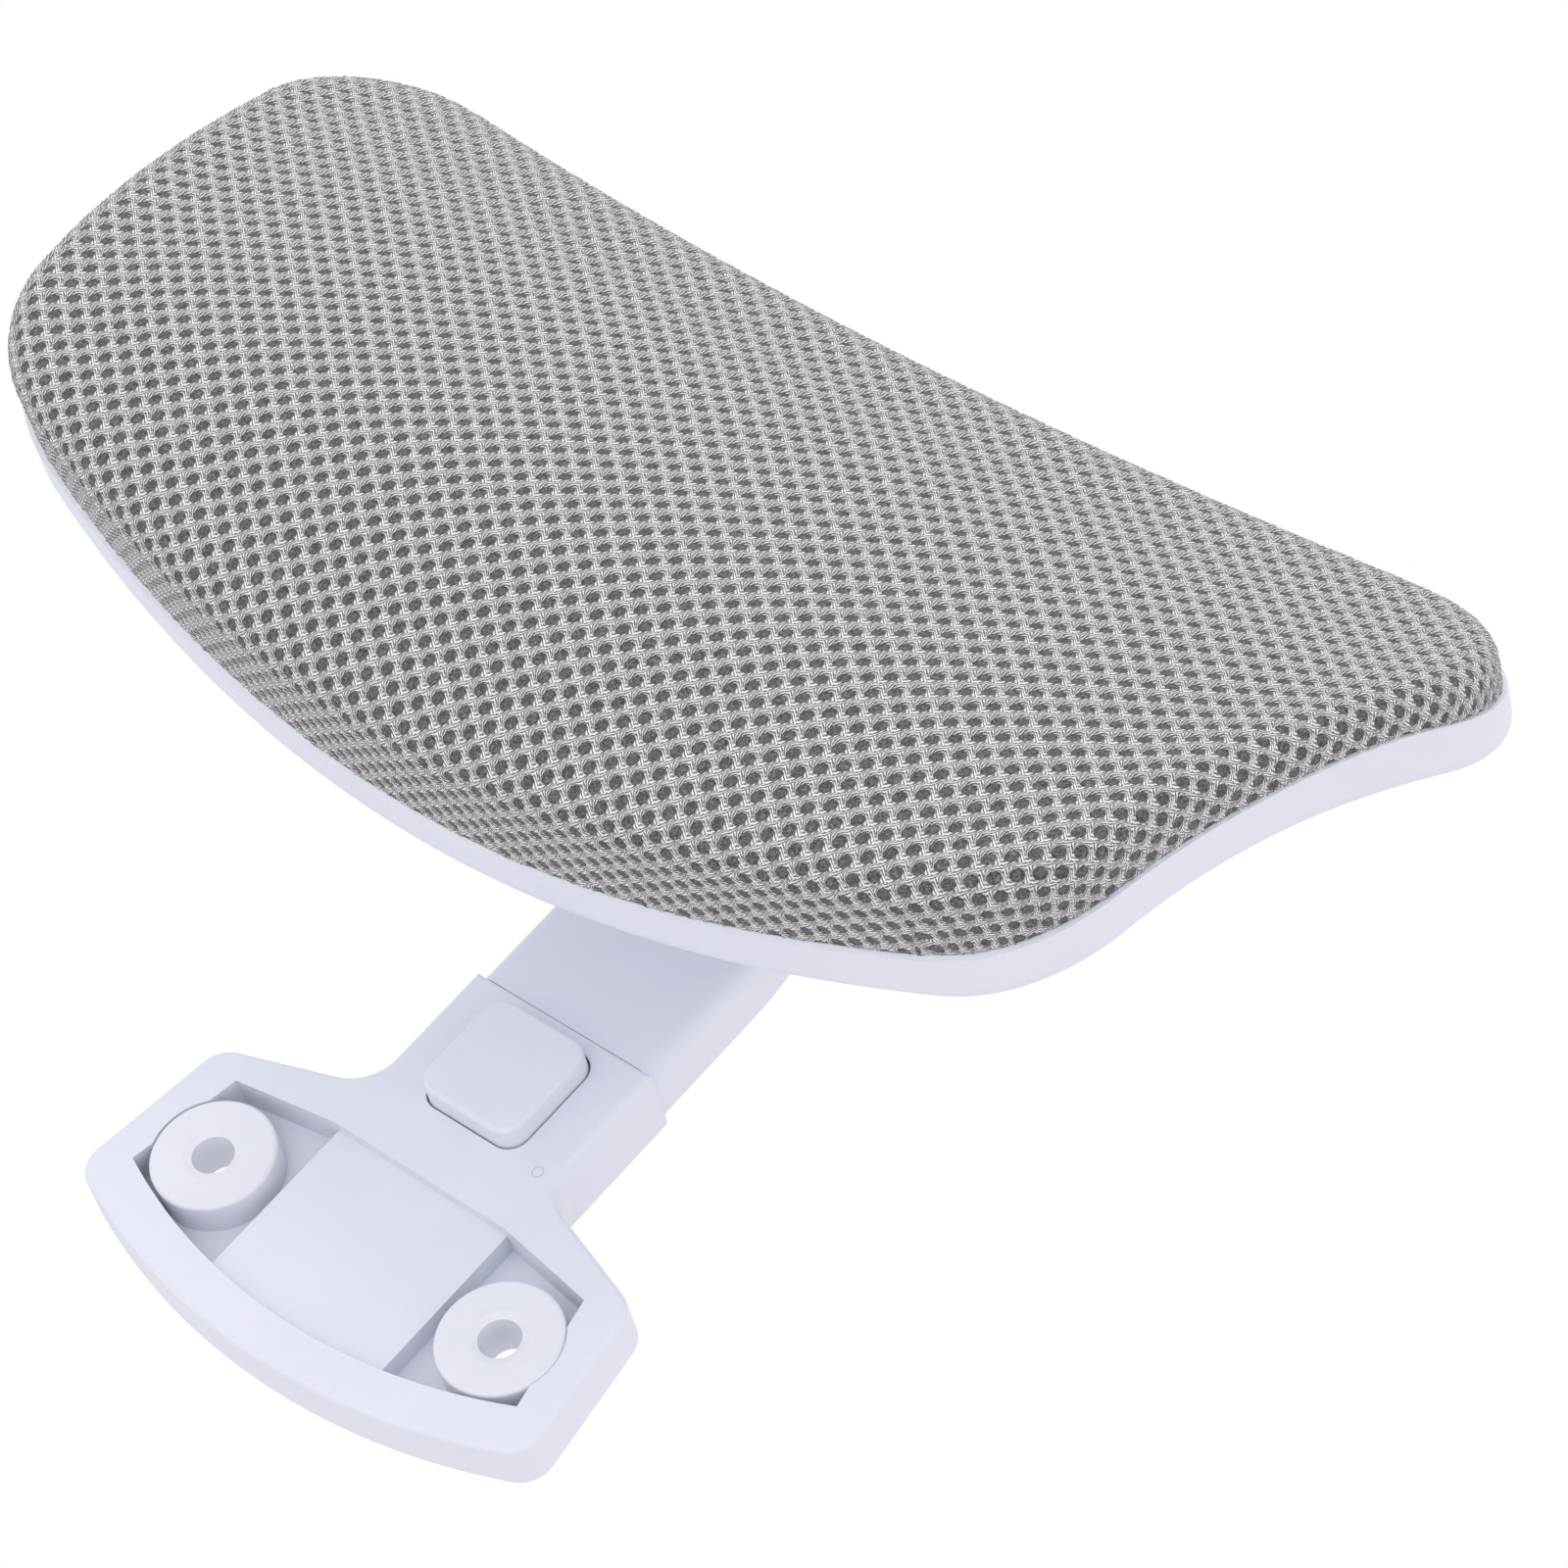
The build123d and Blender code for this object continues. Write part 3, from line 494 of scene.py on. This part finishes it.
def settleCloth(shape, points, normals, onFace, distance, lips):
    # how far each point sinks towards the cushion; on the side, points past the seam are moved to it
    base = worldTree(cushionPad)
    shell = worldTree(nodes["pad_shell"])
    sunk = np.full(len(points), shape["sink"])
    past = np.zeros(len(points), bool)
    for k in range(len(points)):
        if onFace[k]:
            p, n = Vector(points[k]), Vector(normals[k])
            hit = base.ray_cast(p + n * shape["searchLift"], -n, shape["searchReach"])
            if hit[0] is not None:
                share = min(1.0, max(0.0, -distance[k] / shape["settleWidth"]))
                depth = min(max((p - hit[0]).dot(n), 0.0), 2 * shape["sink"])
                sunk[k] += (depth - shape["sink"]) * share * share * (3 - 2 * share)
        else:
            x, z = lips[k]
            lip = shell.ray_cast(Vector((x, shape["inFrontY"], z)), Vector((0, 1, 0)))
            if lip[0] is not None and points[k, 1] > lip[0].y - shape["seamGap"]:
                past[k] = True
                points[k, 1] = lip[0].y - shape["seamGap"]
    return sunk, past


def latticeFaces(cells, ringCount, sides):
    # quads between a cell's rings and a floor in its hole; lay runs round a ring and across it
    faces, lay, floors = [], [], []
    bands = ringCount - 1
    for number in cells:
        first = number * ringCount * sides
        for band in range(bands):
            inside, outside = band / bands, (band + 1) / bands
            for k in range(sides):
                a = first + band * sides + k
                b = first + band * sides + (k + 1) % sides
                faces.append((a, a + sides, b + sides, b))
                here, there = k / sides, (k + 1) / sides
                lay += [(here, inside), (here, outside), (there, outside), (there, inside)]
        floors.append(len(faces))
        faces.append(tuple(range(first, first + sides)))
        lay += [(k / sides, 0) for k in range(sides)]
    return faces, lay, floors


def latticeObject(name, points, faces, lay, floors, mergeDistance):
    mesh = bpy.data.meshes.new(name)
    mesh.from_pydata([tuple(p) for p in points], [], faces)
    mesh.materials.append(meshFabric)
    mesh.materials.append(backingFabric)
    for number in floors:
        mesh.polygons[number].material_index = 1
    layer = mesh.uv_layers.new(name="yarnLay")
    layer.data.foreach_set("uv", np.array(lay, dtype=np.float32).ravel())
    lattice = bpy.data.objects.new(name, mesh)
    scene.collection.objects.link(lattice)
    makeActive(lattice)
    bpy.ops.object.mode_set(mode="EDIT")
    bpy.ops.mesh.select_all(action="SELECT")
    bpy.ops.mesh.delete_loose(use_verts=True, use_edges=True, use_faces=False)
    bpy.ops.mesh.select_all(action="SELECT")
    bpy.ops.mesh.remove_doubles(threshold=mergeDistance)
    bpy.ops.object.mode_set(mode="OBJECT")
    bpy.ops.object.shade_smooth()
    for polygon in mesh.polygons:
        polygon.use_smooth = polygon.material_index == 0
    return lattice


def makeMeshCover(shape):
    inner = insetEdge(padEdge(shape), shape["edgeRadius"])
    depthAt, slopeAt = faceProfile(worldTree(nodes["mesh_cover"]), shape)
    # length along the face against height, to lay flat cloth on it
    heights = np.linspace(0.0, shape["clothTopZ"], shape["clothSteps"])
    lengths = np.concatenate([[0], np.cumsum(np.hypot(np.diff(heights), np.diff(depthAt(heights))))])
    lengths -= np.interp(shape["clothMiddleZ"], heights, lengths)
    flatZ = lambda s: np.interp(s, lengths, heights)
    # centres of the holes on the flat cloth, every other one in a row
    columns, rows = shape["halfColumns"], shape["halfRows"]
    centres = np.array([
        (u * shape["acrossPitch"] / 2, v * shape["upPitch"] / 2)
        for u in range(-columns, columns + 1) for v in range(-rows, rows + 1) if (u + v) % 2 == 0
    ])
    distance = edgeDistance(np.stack([centres[:, 0], flatZ(centres[:, 1])], 1), inner)[0]
    centres = centres[distance < shape["longestReach"]]
    rings, lift = holeCell(shape)
    ringCount, sides = rings.shape[:2]
    flat = (centres[:, None, :] + rings.reshape(1, -1, 2)).reshape(-1, 2)
    spots = np.stack([flat[:, 0], flatZ(flat[:, 1])], 1)
    distance, nearest = edgeDistance(spots, inner)
    outward = unitRows((spots - nearest) * np.sign(distance)[:, None])
    points, normals, onFace = foldOverEdge(
        spots, distance, nearest, outward, depthAt, slopeAt, shape["edgeRadius"],
    )
    # the seam is at the shell's lip, just inside its outer edge
    lips = nearest + outward * (shape["edgeRadius"] - shape["lipInset"])
    sunk, past = settleCloth(shape, points, normals, onFace, distance, lips)
    # flatter down the sides, where the cloth is drawn together
    height = np.tile(lift, len(centres))
    height *= 1 - (1 - shape["sideRelief"]) * np.clip(distance / shape["sideReach"], 0, 1)
    height[past] = shape["seamHeight"]
    points += normals * (height - sunk)[:, None]
    # cells that lie wholly past the seam are left out
    keep = np.nonzero(~past.reshape(len(centres), -1).all(axis=1))[0]
    faces, lay, floors = latticeFaces(keep, ringCount, sides)
    cover = latticeObject("mesh_lattice", points, faces, lay, floors, shape["mergeDistance"])
    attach(cover, "pad")
    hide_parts("mesh_cover")
    triangles = sum(len(p.vertices) - 2 for p in cover.data.polygons)
    print("mesh cover", len(keep), "holes", triangles, "triangles")


makeMeshCover(coverShape)


# floor, light and camera
studio = {
    "floorZ": -0.62, "floorSize": 60.0, "floorColour": (0.86, 0.86, 0.87), "floorRoughness": 0.8,
    "worldStrength": 1.0, "aim": (0, -0.05, 0.08),
    "lights": {    # power, size, place
        "keyLight": (5.0, 0.9, (-0.9, -1.3, 1.1)),
        "fillLight": (1.5, 1.0, (1.3, -0.9, 0.5)),
        "underLight": (3.0, 0.8, (0.1, -1.2, -0.45)),
    },
}
viewpoint = {
    "lens": 142.75, "sensorWidth": 36, "clipStart": 0.05,
    "place": (0.6238, -0.9250, -0.3263), "turn": (119.200, -39.572, 14.433),    # degrees
}


def makeStudio(setup):
    deselectAll()
    bpy.ops.mesh.primitive_plane_add(size=setup["floorSize"], location=(0, 0, setup["floorZ"]))
    floor = bpy.context.object
    floor.name = "floor"
    bpy.ops.object.transform_apply(location=True)
    material, tree, shader = newMaterial("paleFloor")
    shader.inputs["Base Color"].default_value = (*setup["floorColour"], 1)
    shader.inputs["Roughness"].default_value = setup["floorRoughness"]
    floor.data.materials.append(material)
    world = bpy.data.worlds.new("softWorld")
    scene.world = world
    world.use_nodes = True
    back = world.node_tree.nodes["Background"]
    back.inputs["Color"].default_value = (1, 1, 1, 1)
    back.inputs["Strength"].default_value = setup["worldStrength"]
    for name, (power, size, place) in setup["lights"].items():
        light = bpy.data.lights.new(name, "AREA")
        light.energy = power
        light.size = size
        lamp = bpy.data.objects.new(name, light)
        lamp.location = place
        aim = Vector(setup["aim"]) - Vector(place)
        lamp.rotation_euler = aim.to_track_quat("-Z", "Y").to_euler()
        scene.collection.objects.link(lamp)


def makeCamera(setup):
    cameraData = bpy.data.cameras.new("viewCamera")
    cameraData.lens = setup["lens"]
    cameraData.sensor_width = setup["sensorWidth"]
    cameraData.clip_start = setup["clipStart"]
    camera = bpy.data.objects.new("viewCamera", cameraData)
    camera.location = setup["place"]
    camera.rotation_euler = [math.radians(a) for a in setup["turn"]]
    scene.collection.objects.link(camera)
    scene.camera = camera


makeStudio(studio)
makeCamera(viewpoint)
print("studio with", len(studio["lights"]), "lights, and the camera")
